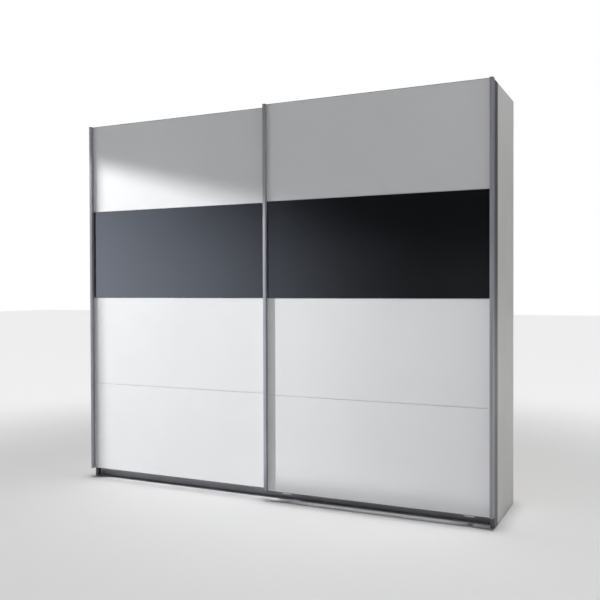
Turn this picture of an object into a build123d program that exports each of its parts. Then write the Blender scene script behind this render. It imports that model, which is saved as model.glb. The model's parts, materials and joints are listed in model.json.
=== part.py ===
from build123d import *
import os

# Two-door sliding wardrobe. X runs across the front, the doors face -Y, Z is up.
# The origin is on the floor, at the middle of the footprint. Millimetres.

# ---- Driving dimensions ----
WIDTH = 2400.0
HEIGHT = 2100.0
DEPTH = 520.0
BOARD = 22.0                # carcass sides, tops, bottoms and partition
THIN_BOARD = 16.0           # plinths and shelves
BACK_BOARD = 4.0
COVER_STRIP = 20.0
FOOT = 3.0                  # glides under the carcass
HANDLE_PROUD = 18.0         # a handle profile's lip, in front of its door
HANDLE_WIDTH = 16.0
GRIP_CROWN = 0.4            # how much a profile's front bulges
PROFILE_FLANGE = 14.0       # the profile's flange behind the door
EDGE_WALL = 2.5             # the profile's wall beside the door's edge
FACING = 5.0                # facing panels on a door
CORE = 12.0                 # board behind the facing panels
FACING_JOINT = 2.0
EDGE_TRIM = 2.0
END_CAP = 3.0
TRACK_PITCH = 44.0          # front door plane to rear door plane
DOOR_BOTTOM = 54.0
DOOR_OVERLAP = 6.0
REAR_DOOR_DROP = 3.5        # the rear door's top sits this much lower

# ---- Planes through the depth ----
HALF_WIDTH = WIDTH / 2
FRONT = -DEPTH / 2
BACK = DEPTH / 2
DOOR_DEPTH = FACING + CORE
FRONT_DOOR_FACE = FRONT + HANDLE_PROUD
REAR_DOOR_FACE = FRONT_DOOR_FACE + TRACK_PITCH
SIDE_FRONT = FRONT_DOOR_FACE + 90.0
BASE_FRONT = SIDE_FRONT - 24.0
PLINTH_FRONT = SIDE_FRONT + 10.0
BACK_SKIN = 1.0             # joiner flanges in front of and behind the back boards
PANEL_BACK = BACK - BACK_BOARD - BACK_SKIN
REAR_PLINTH_FRONT = PANEL_BACK - 40.0
SHELF_FRONT = SIDE_FRONT + 32.0
SHELF_BACK = PANEL_BACK - 5.0

# ---- Levels ----
SIDE_TOP = HEIGHT - 4.0
CARCASS_TOP = HEIGHT - 44.0
CARCASS_CEILING = CARCASS_TOP - BOARD
BASE_BOTTOM = 66.0
BASE_TOP = BASE_BOTTOM + BOARD
SHELF_LEVEL = 1760.0
RAIL_LEVEL = 1690.0

# ---- Widths ----
INNER_X = HALF_WIDTH - BOARD
DOOR_WIDTH = HALF_WIDTH + DOOR_OVERLAP / 2
RABBET = 12.0

# ---- Running gear on top ----
REAR_TRACK_Y = SIDE_FRONT + 22.0
FRONT_TRACK_Y = REAR_TRACK_Y + 38.0
ROLLER_TREAD_R = 11.0
ROLLER_FLANGE_R = 14.0
ROLLER_WIDTH = 10.0
ROLLER_GROOVE = 5.0
AXLE_R = 3.0
RUNNING_CLEARANCE = 0.05
RAIL_BASE = 3.0
RAIL_RIB = 4.0
RAIL_RIB_HEIGHT = 11.0
RAIL_HALF_LENGTH = 1160.0
RAIL_MARGIN = 16.0          # base beyond the two tracks
RAIL_SCREW_PITCH = 220.0
AXLE_LEVEL = CARCASS_TOP + RAIL_BASE + RAIL_RIB_HEIGHT + ROLLER_TREAD_R + 0.1
SHEET = 2.0
HANGER_INSET = 120.0        # from a door's edge to its hanger
HANGER_WIDTH = 60.0
HANGER_TONGUE = 28.0        # the hanger's narrow rear leg
HANGER_LOW = HEIGHT - 100.0
LEG_GAP = 8.0               # the rear leg stands this far in front of its track
STOP_SIZE = (25.0, 12.0, 22.0)

# ---- Floor guides ----
GUIDE_RAIL_HEIGHT = 12.0
GUIDE_WEB = 2.5
GUIDE_GROOVE = 6.0
GUIDE_FIN = 4.0
GUIDE_PLATE = 3.0
GUIDE_ARM = 3.5
GUIDE_PLATE_TOP = 110.0
GUIDE_TIP = BASE_BOTTOM - 4.0
REAR_GUIDE_Y = BASE_FRONT + 8.0
FRONT_GUIDE_Y = REAR_GUIDE_Y + 14.0

# ---- Fittings ----
PIN_R = 2.5
PIN_DEPTH = 9.0
PIN_REACH = 8.0
PIN_PITCH = 32.0
CAM_R = 7.5
CAM_DISC = 12.5
CAM_DEPTH = 13.0
CAM_INSET = 34.0
BOLT_R = 3.5
BOLT_THREAD_R = 2.5
BOLT_THREAD = 10.0
DOWEL_R = 4.0
DOWEL_HALF = 15.0
SCREW_R = 1.9
SCREW_HEAD_R = 3.6
PILOT_DEPTH = 10.0
CORE_PILOT = 9.0
TUBE_R = 12.5
TUBE_WALL = 1.5
TUBE_Y = (SIDE_FRONT + PANEL_BACK) / 2
CUP_BASE = 3.0
CUP_LENGTH = 14.0
CUP_WALL = 2.5
CUP_PLATE_R = 26.0
JOINER_WEB = 1.5
JOINER_FLANGE = 24.0
ANGLE_X = 900.0
ANGLE_WIDTH = 40.0
ANGLE_LEG = 36.0
ANGLE_HOLE_R = 4.0
ANGLE_HOLE_Z = CARCASS_TOP + 22.0

UP = (0, 0, 1)
DOWN = (0, 0, -1)
TO_BACK = (0, 1, 0)
TO_FRONT = (0, -1, 0)
SIDES = {"left": -1, "right": 1}

os.makedirs("parts", exist_ok=True)


# ---- Helpers ----
def save(piece, name):
    """Label a finished piece and write it to its own file."""
    piece.part.label = name
    export_step(piece.part, f"parts/{name}.step")


def middle(span):
    """The middle of a (low, high) span."""
    return (span[0] + span[1]) / 2


def board(x, y, z):
    """A rectangular board between the ends of its three (low, high) spans."""
    with BuildPart() as piece:
        with BuildSketch(Plane.XY.offset(z[0])):
            with Locations((middle(x), middle(y))):
                Rectangle(x[1] - x[0], y[1] - y[0])
        extrude(amount=z[1] - z[0])
    return piece


def bars(points, direction, radius, length):
    """Round bars of one size, one from each point along direction."""
    with BuildPart() as group:
        with BuildSketch(*[Plane(origin=point, z_dir=direction) for point in points]):
            Circle(radius)
        extrude(amount=length)
    return group


def drill(piece, points, direction, radius, depth):
    """Drill blind holes of one size into a piece, one from each point along direction."""
    cutters = bars(points, direction, radius, depth)
    with BuildPart() as drilled:
        add(piece.part)
        add(cutters.part, mode=Mode.SUBTRACT)
    return drilled


def joined(pieces):
    """Several pieces gathered into one group of separate solids."""
    with BuildPart() as group:
        for piece in pieces:
            add(piece.part)
    return group


def screws(points, direction, under_head, length=10.0, head=1.5):
    """Pan-head screws with a cross slot: seats at the points, shanks along direction."""
    seats = [Plane(origin=point, z_dir=direction) for point in points]
    crowns = [seat.offset(-head) for seat in seats]
    with BuildPart() as group:
        with BuildSketch(*seats):
            Circle(SCREW_R)
        extrude(amount=under_head + length)
        with BuildSketch(*seats):
            Circle(SCREW_HEAD_R)
        extrude(amount=-head)
        with BuildSketch(*crowns):
            Rectangle(SCREW_HEAD_R * 1.2, 0.8)
            Rectangle(0.8, SCREW_HEAD_R * 1.2)
        extrude(amount=head * 0.5, mode=Mode.SUBTRACT)
    return group


def on_side(points, sign):
    """The points of a list that lie on one side of the middle plane."""
    return [point for point in points if point[0] * sign > 0]


# ---- Where the fittings go ----
TOP_BOLT_Z = middle((CARCASS_CEILING, CARCASS_TOP))
BASE_BOLT_Z = middle((BASE_BOTTOM, BASE_TOP))
FITTING_YS = (SIDE_FRONT + 42.0, PANEL_BACK - 65.0)
PLINTH_YS = (PLINTH_FRONT + THIN_BOARD / 2, REAR_PLINTH_FRONT + THIN_BOARD / 2)
PLINTH_DOWEL_ZS = (20.0, 50.0)
STRIP_X = HALF_WIDTH - COVER_STRIP / 2
STRIP_DOWEL_ZS = (150.0, 750.0, 1350.0, 1950.0)
PIN_YS = (SHELF_FRONT + 45.0, SHELF_BACK - 45.0)
PIN_ZS = [SHELF_LEVEL - PIN_R + step * PIN_PITCH for step in range(-3, 4)]
GUIDE_SCREW_Y = middle((REAR_GUIDE_Y, FRONT_GUIDE_Y))
GUIDE_COUNTERBORE = 8.0

rail_heads = [
    (step * RAIL_SCREW_PITCH, middle((REAR_TRACK_Y, FRONT_TRACK_Y)), CARCASS_TOP + RAIL_BASE)
    for step in (-5, -4, -3, -2, -1, 1, 2, 3, 4, 5)
]
guide_heads = [
    (step * RAIL_SCREW_PITCH, GUIDE_SCREW_Y, BASE_BOTTOM - GUIDE_RAIL_HEIGHT + GUIDE_COUNTERBORE)
    for step in (-5, -3, -1, 1, 3, 5)
]
angle_heads = [
    (sign * ANGLE_X + offset, BACK - ANGLE_LEG + 10.0, CARCASS_TOP + SHEET)
    for sign in SIDES.values()
    for offset in (-12.0, 12.0)
]
back_heads = [
    (sign * x, PANEL_BACK + BACK_BOARD, z)
    for sign in SIDES.values()
    for x in (70.0, 330.0, 510.0, 680.0, 860.0, 1120.0)
    for z in (TOP_BOLT_Z - 4.0, BASE_BOLT_Z + 4.0)
]
# (x, inward) of the four vertical faces that look into the two bays
bay_walls = [(sign * INNER_X, -sign) for sign in SIDES.values()]
bay_walls += [(sign * BOARD / 2, sign) for sign in SIDES.values()]
cup_heads = [
    ((wall_x + inward * CUP_BASE, TUBE_Y, RAIL_LEVEL + offset), inward)
    for wall_x, inward in bay_walls
    for offset in (-20.0, 20.0)
]
# (x, inward, level) of each bolted end of a top or bottom panel
bolted_ends = [(x, inward, BASE_BOLT_Z) for x, inward in bay_walls]
bolted_ends += [(x, inward, TOP_BOLT_Z) for x, inward in bay_walls[:2]]


# ---- Carcass pieces ----
def wall_holes(panel, wall_x, inward, levels):
    """Drill one bay wall for its bolts, shelf pins and clothes-rail cup."""
    into = (-inward, 0, 0)
    bolts = [(wall_x, y, z) for y in FITTING_YS for z in levels]
    pins = [(wall_x, y, z) for y in PIN_YS for z in PIN_ZS]
    cup = [(wall_x, TUBE_Y, RAIL_LEVEL + offset) for offset in (-20.0, 20.0)]
    panel = drill(panel, bolts, into, BOLT_THREAD_R, BOLT_THREAD)
    panel = drill(panel, pins, into, PIN_R, PIN_DEPTH)
    return drill(panel, cup, into, SCREW_R, PILOT_DEPTH)


def side_panel(sign):
    """A carcass side with a rabbet for the back board, drilled on its inner face."""
    span_x = sorted((sign * INNER_X, sign * HALF_WIDTH))
    rabbet_x = sorted((sign * INNER_X, sign * (INNER_X + RABBET)))
    blank = board(span_x, (SIDE_FRONT, BACK), (FOOT, SIDE_TOP))
    rabbet = board(rabbet_x, (PANEL_BACK, BACK), (FOOT, SIDE_TOP))
    with BuildPart() as panel:
        add(blank.part)
        add(rabbet.part, mode=Mode.SUBTRACT)
    panel = wall_holes(panel, sign * INNER_X, -sign, (TOP_BOLT_Z, BASE_BOLT_Z))
    plinth_dowels = [(sign * INNER_X, y, z) for y in PLINTH_YS for z in PLINTH_DOWEL_ZS]
    panel = drill(panel, plinth_dowels, (sign, 0, 0), DOWEL_R, DOWEL_HALF)
    strip_dowels = [(sign * STRIP_X, SIDE_FRONT, z) for z in STRIP_DOWEL_ZS]
    return drill(panel, strip_dowels, TO_BACK, DOWEL_R, DOWEL_HALF)


def centre_partition():
    """The middle upright, notched round both plinths and drilled from both faces."""
    with BuildPart() as panel:
        with BuildSketch(Plane.YZ.offset(-BOARD / 2)):
            with BuildLine():
                Polyline(
                    (PLINTH_FRONT + THIN_BOARD, FOOT),
                    (REAR_PLINTH_FRONT, FOOT),
                    (REAR_PLINTH_FRONT, BASE_BOTTOM),
                    (REAR_PLINTH_FRONT + THIN_BOARD, BASE_BOTTOM),
                    (REAR_PLINTH_FRONT + THIN_BOARD, FOOT),
                    (PANEL_BACK, FOOT),
                    (PANEL_BACK, CARCASS_CEILING),
                    (SIDE_FRONT, CARCASS_CEILING),
                    (SIDE_FRONT, BASE_BOTTOM),
                    (PLINTH_FRONT + THIN_BOARD, BASE_BOTTOM),
                    close=True,
                )
            make_face()
        extrude(amount=BOARD)
    for wall_x, inward in bay_walls[2:]:
        panel = wall_holes(panel, wall_x, inward, (BASE_BOLT_Z,))
    return panel


def bore_for_cams(panel, ends, face_z, direction):
    """Bore a horizontal panel for its cams, and its ends for the bolts."""
    for end_x, inward, level in ends:
        bolts = [(end_x, y, level) for y in FITTING_YS]
        cams = [(end_x + inward * CAM_INSET, y, face_z) for y in FITTING_YS]
        panel = drill(panel, bolts, (inward, 0, 0), BOLT_R, CAM_INSET)
        panel = drill(panel, cams, direction, CAM_R, CAM_DEPTH)
    return panel


def top_panel(sign):
    """A top panel from a side to the middle, bored for cams and for the rail's screws."""
    span_x = sorted((0.0, sign * INNER_X))
    panel = board(span_x, (SIDE_FRONT, PANEL_BACK), (CARCASS_CEILING, CARCASS_TOP))
    ends = [(sign * INNER_X, -sign, TOP_BOLT_Z)]
    panel = bore_for_cams(panel, ends, CARCASS_TOP, DOWN)
    rail_pilots = [(x, y, CARCASS_TOP) for x, y, _ in on_side(rail_heads, sign)]
    angle_pilots = [(x, y, CARCASS_TOP) for x, y, _ in on_side(angle_heads, sign)]
    panel = drill(panel, rail_pilots + angle_pilots, DOWN, SCREW_R, PILOT_DEPTH)
    back_pilots = [(x, PANEL_BACK, z) for x, _, z in on_side(back_heads, sign) if z > BASE_TOP]
    return drill(panel, back_pilots, TO_FRONT, SCREW_R, PILOT_DEPTH)


def bottom_panel(sign):
    """A bottom panel between a side and the partition, bored from below."""
    span_x = sorted((sign * BOARD / 2, sign * INNER_X))
    panel = board(span_x, (BASE_FRONT, PANEL_BACK), (BASE_BOTTOM, BASE_TOP))
    ends = [end for end in bolted_ends if end[2] == BASE_BOLT_Z and end[0] * sign > 0]
    panel = bore_for_cams(panel, ends, BASE_BOTTOM, UP)
    guide_pilots = [(x, y, BASE_BOTTOM) for x, y, _ in on_side(guide_heads, sign)]
    panel = drill(panel, guide_pilots, UP, SCREW_R, PILOT_DEPTH)
    back_pilots = [(x, PANEL_BACK, z) for x, _, z in on_side(back_heads, sign) if z < BASE_TOP]
    return drill(panel, back_pilots, TO_FRONT, SCREW_R, PILOT_DEPTH)


def cam_fittings():
    """Slotted cam discs and the bolts that they pull on."""
    discs = []
    bolts = []
    for end_x, inward, level in bolted_ends:
        on_top = level == TOP_BOLT_Z
        face_z = CARCASS_TOP if on_top else BASE_BOTTOM
        into = DOWN if on_top else UP
        centres = [(end_x + inward * CAM_INSET, y, face_z) for y in FITTING_YS]
        seats = [Plane(origin=centre, z_dir=into) for centre in centres]
        with BuildPart() as pair:
            with BuildSketch(*seats):
                Circle(CAM_R)
            extrude(amount=CAM_DISC)
            with BuildSketch(*seats):
                Rectangle(9.0, 1.6)
                Rectangle(1.6, 9.0)
            extrude(amount=3.0, mode=Mode.SUBTRACT)
        discs.append(pair)
        starts = [(end_x, y, level) for y in FITTING_YS]
        shanks = bars(starts, (inward, 0, 0), BOLT_R, CAM_INSET - CAM_R)
        threads = bars(starts, (-inward, 0, 0), BOLT_THREAD_R, BOLT_THREAD)
        bolts += [shanks, threads]
    return joined(discs + [joined(bolts)])


def plinth(front):
    """A board across the foot of the carcass, drilled for dowels at both ends."""
    piece = board((-INNER_X, INNER_X), (front, front + THIN_BOARD), (FOOT, BASE_BOTTOM))
    for sign in SIDES.values():
        ends = [(sign * INNER_X, front + THIN_BOARD / 2, z) for z in PLINTH_DOWEL_ZS]
        piece = drill(piece, ends, (-sign, 0, 0), DOWEL_R, DOWEL_HALF)
    return piece


def cover_strip(sign, front):
    """The upright that closes the gap between the doors and a side panel."""
    span_x = sorted((sign * (HALF_WIDTH - COVER_STRIP), sign * HALF_WIDTH))
    blank = board(span_x, (front, SIDE_FRONT), (FOOT, SIDE_TOP))
    with BuildPart() as strip:
        add(blank.part)
        fillet(strip.edges().filter_by(Axis.Z).group_by(Axis.Y)[0], radius=1.5)
    dowel_holes = [(sign * STRIP_X, SIDE_FRONT, z) for z in STRIP_DOWEL_ZS]
    return drill(strip, dowel_holes, TO_FRONT, DOWEL_R, DOWEL_HALF)


def dowels():
    """Wooden dowels in the plinth ends and behind the cover strips."""
    half = DOWEL_HALF - 0.5
    groups = []
    for sign in SIDES.values():
        starts = [(sign * (INNER_X - half), y, z) for y in PLINTH_YS for z in PLINTH_DOWEL_ZS]
        groups.append(bars(starts, (sign, 0, 0), DOWEL_R, 2 * half))
        starts = [(sign * STRIP_X, SIDE_FRONT - half, z) for z in STRIP_DOWEL_ZS]
        groups.append(bars(starts, TO_BACK, DOWEL_R, 2 * half))
    return joined(groups)


def back_joiner_strips():
    """H-section strips that join the back boards in the middle of each bay."""
    with BuildPart() as strips:
        with BuildSketch(Plane.XY.offset(BASE_TOP + 1.0)):
            for centre in (-INNER_X / 2, INNER_X / 2):
                with Locations((centre, PANEL_BACK + BACK_BOARD / 2)):
                    Rectangle(JOINER_WEB, BACK_BOARD)
                    with Locations((0, -(BACK_BOARD + BACK_SKIN) / 2), (0, (BACK_BOARD + BACK_SKIN) / 2)):
                        Rectangle(JOINER_FLANGE, BACK_SKIN)
        extrude(amount=CARCASS_CEILING - BASE_TOP - 2.0)
    return strips


for side, sign in SIDES.items():
    strip_face = {"left": REAR_DOOR_FACE, "right": FRONT_DOOR_FACE}[side]
    save(side_panel(sign), f"{side}_side_panel")
    save(top_panel(sign), f"{side}_top_panel")
    save(bottom_panel(sign), f"{side}_bottom_panel")
    save(cover_strip(sign, strip_face + DOOR_DEPTH + 5.0), f"{side}_cover_strip")
save(centre_partition(), "centre_partition")
save(cam_fittings(), "cam_fittings")
save(plinth(PLINTH_FRONT), "front_plinth")
save(plinth(REAR_PLINTH_FRONT), "rear_plinth")
save(dowels(), "dowels")
save(back_joiner_strips(), "back_joiner_strips")

back_names = ("back_board_far_left", "back_board_left", "back_board_right", "back_board_far_right")
back_edges = (-INNER_X - RABBET, -INNER_X / 2, 0.0, INNER_X / 2, INNER_X + RABBET)
for index, name in enumerate(back_names):
    low = back_edges[index] + JOINER_WEB / 2
    high = back_edges[index + 1] - JOINER_WEB / 2
    blank = board((low, high), (PANEL_BACK, PANEL_BACK + BACK_BOARD), (FOOT + 5.0, CARCASS_TOP))
    heads = [point for point in back_heads if low < point[0] < high]
    save(drill(blank, heads, TO_FRONT, SCREW_R, BACK_BOARD), name)


# ---- Inside the two bays ----
def clothes_rail(sign):
    """A steel tube that spans one bay between its two cups."""
    start = sign * (BOARD / 2 + CUP_BASE)
    with BuildPart() as tube:
        with BuildSketch(Plane.YZ.offset(start)):
            with Locations((TUBE_Y, RAIL_LEVEL)):
                Circle(TUBE_R)
                Circle(TUBE_R - TUBE_WALL, mode=Mode.SUBTRACT)
        extrude(amount=sign * (INNER_X - BOARD / 2 - 2 * CUP_BASE))
    return tube


def clothes_rail_cups():
    """Round flanged cups that hold the ends of the clothes rails."""
    seats = [
        Plane(origin=(wall_x, TUBE_Y, RAIL_LEVEL), z_dir=(inward, 0, 0))
        for wall_x, inward in bay_walls
    ]
    with BuildPart() as cups:
        with BuildSketch(*seats):
            Circle(CUP_PLATE_R)
        extrude(amount=CUP_BASE)
        with BuildSketch(*[seat.offset(CUP_BASE) for seat in seats]):
            Circle(TUBE_R + RUNNING_CLEARANCE + CUP_WALL)
            Circle(TUBE_R + RUNNING_CLEARANCE, mode=Mode.SUBTRACT)
        extrude(amount=CUP_LENGTH)
    for point, inward in cup_heads:
        cups = drill(cups, [point], (-inward, 0, 0), SCREW_R, CUP_BASE)
    return cups


def shelf_pins():
    """Steel pins, half in the wall and half under a shelf."""
    groups = []
    for wall_x, inward in bay_walls:
        starts = [(wall_x - inward * PIN_DEPTH, y, SHELF_LEVEL - PIN_R) for y in PIN_YS]
        groups.append(bars(starts, (inward, 0, 0), PIN_R, PIN_DEPTH + PIN_REACH))
    return joined(groups)


for side, sign in SIDES.items():
    shelf_x = sorted((sign * (BOARD / 2 + 1.0), sign * (INNER_X - 1.0)))
    shelf_z = (SHELF_LEVEL, SHELF_LEVEL + THIN_BOARD)
    save(board(shelf_x, (SHELF_FRONT, SHELF_BACK), shelf_z), f"{side}_hat_shelf")
    save(clothes_rail(sign), f"{side}_clothes_rail")
save(clothes_rail_cups(), "clothes_rail_cups")
save(shelf_pins(), "shelf_pins")


# ---- Rails, stops, glides and wall angles ----
def running_rail():
    """An aluminium base with two round-topped ribs and a small lip at each edge."""
    low_y = REAR_TRACK_Y - RAIL_MARGIN
    high_y = FRONT_TRACK_Y + RAIL_MARGIN
    base_top = CARCASS_TOP + RAIL_BASE
    flat_rib = RAIL_RIB_HEIGHT - RAIL_RIB / 2
    with BuildPart() as rail:
        with BuildSketch(Plane.YZ.offset(-RAIL_HALF_LENGTH)):
            with Locations((middle((low_y, high_y)), CARCASS_TOP + RAIL_BASE / 2)):
                Rectangle(high_y - low_y, RAIL_BASE)
            with Locations((REAR_TRACK_Y, base_top), (FRONT_TRACK_Y, base_top)):
                with Locations((0, flat_rib / 2)):
                    Rectangle(RAIL_RIB, flat_rib)
                with Locations((0, flat_rib)):
                    Circle(RAIL_RIB / 2)
            with Locations((low_y + 1.0, base_top + 1.5), (high_y - 1.0, base_top + 1.5)):
                Rectangle(2.0, 3.0)
        extrude(amount=2 * RAIL_HALF_LENGTH)
    return drill(rail, rail_heads, DOWN, SCREW_R, RAIL_BASE)


def guide_rail():
    """An aluminium rail under the bottom panels with two grooves that open downwards."""
    span_y = (BASE_FRONT, FRONT_GUIDE_Y + 8.0)
    with BuildPart() as rail:
        with BuildSketch(Plane.YZ.offset(-INNER_X)):
            with Locations((middle(span_y), BASE_BOTTOM - GUIDE_RAIL_HEIGHT / 2)):
                Rectangle(span_y[1] - span_y[0], GUIDE_RAIL_HEIGHT)
            groove_z = BASE_BOTTOM - GUIDE_WEB - GUIDE_RAIL_HEIGHT / 2
            with Locations((REAR_GUIDE_Y, groove_z), (FRONT_GUIDE_Y, groove_z)):
                Rectangle(GUIDE_GROOVE, GUIDE_RAIL_HEIGHT, mode=Mode.SUBTRACT)
        extrude(amount=2 * INNER_X)
    mouths = [(x, y, z - GUIDE_COUNTERBORE) for x, y, z in guide_heads]
    rail = drill(rail, mouths, UP, SCREW_HEAD_R, GUIDE_COUNTERBORE)
    return drill(rail, mouths, UP, SCREW_R, GUIDE_RAIL_HEIGHT)


def rail_end_stops():
    """Rubber stops that straddle the ribs and end each door's travel."""
    length, width, height = STOP_SIZE
    low_end = HANGER_INSET - HALF_WIDTH - HANGER_WIDTH / 2
    centres = [
        (low_end - 2.0 - length / 2, REAR_TRACK_Y),
        (low_end - 2.0 - length / 2, FRONT_TRACK_Y),
        (-low_end - 22.0 + length / 2, REAR_TRACK_Y),
        (-low_end + 2.0 + length / 2, FRONT_TRACK_Y),
    ]
    low = (Align.CENTER, Align.CENTER, Align.MIN)
    with BuildPart() as stops:
        with Locations(*[(x, y, CARCASS_TOP + RAIL_BASE) for x, y in centres]):
            Box(length, width, height, align=low)
        fillet(stops.edges().filter_by(Axis.Y).group_by(Axis.Z)[-1], radius=3.0)
        with Locations(*[(x, y, CARCASS_TOP + RAIL_BASE) for x, y in centres]):
            Box(length, RAIL_RIB, RAIL_RIB_HEIGHT, align=low, mode=Mode.SUBTRACT)
    return stops


def floor_glides():
    """Chamfered discs under the three uprights."""
    spots = [
        (sign * (HALF_WIDTH - BOARD / 2), y)
        for sign in SIDES.values()
        for y in (SIDE_FRONT + 40.0, 60.0, 250.0)
    ]
    spots += [(0.0, y) for y in (SIDE_FRONT + 60.0, 60.0, 225.0)]
    with BuildPart() as glides:
        with BuildSketch():
            with Locations(*spots):
                Circle(9.5)
        extrude(amount=FOOT)
        chamfer(glides.edges().group_by(Axis.Z)[0], length=1.0)
    return glides


def wall_angles():
    """Steel angles on the tops, each with a hole for a screw into the wall."""
    with BuildPart() as angles:
        for sign in SIDES.values():
            with BuildSketch(Plane.YZ.offset(sign * ANGLE_X - ANGLE_WIDTH / 2)):
                with BuildLine():
                    Polyline(
                        (BACK, CARCASS_TOP),
                        (BACK, CARCASS_TOP + ANGLE_LEG),
                        (BACK - SHEET, CARCASS_TOP + ANGLE_LEG),
                        (BACK - SHEET, CARCASS_TOP + SHEET),
                        (BACK - ANGLE_LEG, CARCASS_TOP + SHEET),
                        (BACK - ANGLE_LEG, CARCASS_TOP),
                        close=True,
                    )
                make_face()
            extrude(amount=ANGLE_WIDTH)
    holes = [(sign * ANGLE_X, BACK - SHEET, ANGLE_HOLE_Z) for sign in SIDES.values()]
    angles = drill(angles, holes, TO_BACK, ANGLE_HOLE_R, SHEET)
    return drill(angles, angle_heads, DOWN, SCREW_R, SHEET)


def carcass_screws():
    """Every screw of the carcass: rails, wall angles, back boards and cups."""
    groups = [
        screws(rail_heads, DOWN, RAIL_BASE),
        screws(angle_heads, DOWN, SHEET),
        screws(guide_heads, UP, GUIDE_RAIL_HEIGHT - GUIDE_COUNTERBORE),
        screws(back_heads, TO_FRONT, BACK_BOARD, head=0.9),
    ]
    for point, inward in cup_heads:
        groups.append(screws([point], (-inward, 0, 0), CUP_BASE))
    return joined(groups)


save(running_rail(), "running_rail")
save(guide_rail(), "guide_rail")
save(rail_end_stops(), "rail_end_stops")
save(floor_glides(), "floor_glides")
save(wall_angles(), "wall_angles")
save(carcass_screws(), "carcass_screws")


# ---- Door pieces ----
def profile_outline(edge_x, inward, face_y):
    """Plan outline of a handle profile: crowned grip in front, thin wall round the edge."""
    dome = face_y - HANDLE_PROUD + GRIP_CROWN
    back = face_y + DOOR_DEPTH
    inner_x = edge_x + inward * HANDLE_WIDTH
    with BuildLine() as outline:
        ThreePointArc(
            (edge_x, dome),
            (edge_x + inward * HANDLE_WIDTH / 2, face_y - HANDLE_PROUD),
            (inner_x, dome),
        )
        Polyline(
            (inner_x, dome),
            (inner_x, face_y),
            (edge_x + inward * EDGE_WALL, face_y),
            (edge_x + inward * EDGE_WALL, back),
            (edge_x + inward * PROFILE_FLANGE, back),
            (edge_x + inward * PROFILE_FLANGE, back + 1.5),
            (edge_x, back + 1.5),
            (edge_x, dome),
        )
    return outline


def handle_profile(edge_x, inward, face_y, span):
    """An extruded aluminium handle profile with a hollow grip."""
    outline = profile_outline(edge_x, inward, face_y)
    hollow = (edge_x + inward * HANDLE_WIDTH / 2, face_y - HANDLE_PROUD / 2 + 0.5)
    with BuildPart() as profile:
        with BuildSketch(Plane.XY.offset(span[0])):
            make_face(outline.edges())
            with Locations(hollow):
                Rectangle(HANDLE_WIDTH - 4.0, HANDLE_PROUD - 5.0, mode=Mode.SUBTRACT)
        extrude(amount=span[1] - span[0])
    return profile


def end_caps(edges, face_y, door_span):
    """Caps that close both ends of a door's two handle profiles."""
    with BuildPart() as caps:
        for edge_x, inward in edges:
            outline = profile_outline(edge_x, inward, face_y)
            for low in (door_span[0], door_span[1] - END_CAP):
                with BuildSketch(Plane.XY.offset(low)):
                    make_face(outline.edges())
                extrude(amount=END_CAP)
    return caps


def door_facing(span_x, face_y, span_z):
    """One facing panel, its long front edges eased where it meets its neighbours."""
    blank = board(span_x, (face_y, face_y + FACING), span_z)
    with BuildPart() as facing:
        add(blank.part)
        front_face = facing.faces().sort_by(Axis.Y)[0]
        chamfer(front_face.edges().filter_by(Axis.X), length=0.6)
    return facing


def hanger(x, back_y, arm_top, leg_back):
    """Bent steel: a wide leg on the door, an arm over the top, a tongue at the track."""
    hollow_top = arm_top - SHEET
    centre_y = middle((back_y, leg_back))
    with BuildPart() as bracket:
        with BuildSketch(Plane.YZ.offset(x - HANGER_WIDTH / 2)):
            with Locations((centre_y, middle((HANGER_LOW, arm_top)))):
                Rectangle(leg_back - back_y, arm_top - HANGER_LOW)
            with Locations((centre_y, middle((HANGER_LOW, hollow_top)))):
                hollow_width = leg_back - back_y - 2 * SHEET
                Rectangle(hollow_width, hollow_top - HANGER_LOW, mode=Mode.SUBTRACT)
        extrude(amount=HANGER_WIDTH)
        bends = bracket.edges().filter_by(Axis.X).group_by(Axis.Z)
        fillet(bends[-1], radius=2.5)
        tongue_low = AXLE_LEVEL - 12.0
        with Locations((x, leg_back - SHEET / 2, middle((HANGER_LOW, tongue_low)))):
            Box(HANGER_WIDTH, SHEET, tongue_low - HANGER_LOW, mode=Mode.SUBTRACT)
        waste = (HANGER_WIDTH - HANGER_TONGUE) / 2
        waste_x = (HANGER_WIDTH - waste) / 2
        waste_z = (tongue_low, arm_top - 4.0)
        with Locations(
            (x - waste_x, leg_back - SHEET / 2, middle(waste_z)),
            (x + waste_x, leg_back - SHEET / 2, middle(waste_z)),
        ):
            Box(waste, SHEET, waste_z[1] - waste_z[0], mode=Mode.SUBTRACT)
    return drill(bracket, [(x, leg_back, AXLE_LEVEL)], TO_FRONT, AXLE_R, SHEET)


def floor_guide(x, back_y, arm_z, fin_y):
    """Moulded guide: plate on the door's back, arm beneath, fin up into the guide rail."""
    fin_back = fin_y + GUIDE_FIN / 2
    with BuildPart() as guide:
        with Locations((x, back_y + GUIDE_PLATE / 2, middle((arm_z, GUIDE_PLATE_TOP)))):
            Box(50.0, GUIDE_PLATE, GUIDE_PLATE_TOP - arm_z)
        with Locations((x, middle((back_y, fin_back)), arm_z + GUIDE_ARM / 2)):
            Box(24.0, fin_back - back_y, GUIDE_ARM)
        with Locations((x, fin_y, middle((arm_z, GUIDE_TIP)))):
            Box(24.0, GUIDE_FIN, GUIDE_TIP - arm_z)
        plate_top = guide.faces().sort_by(Axis.Z)[-1]
        fillet(plate_top.edges().filter_by(Axis.Y), radius=1.0)
    return guide


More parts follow.
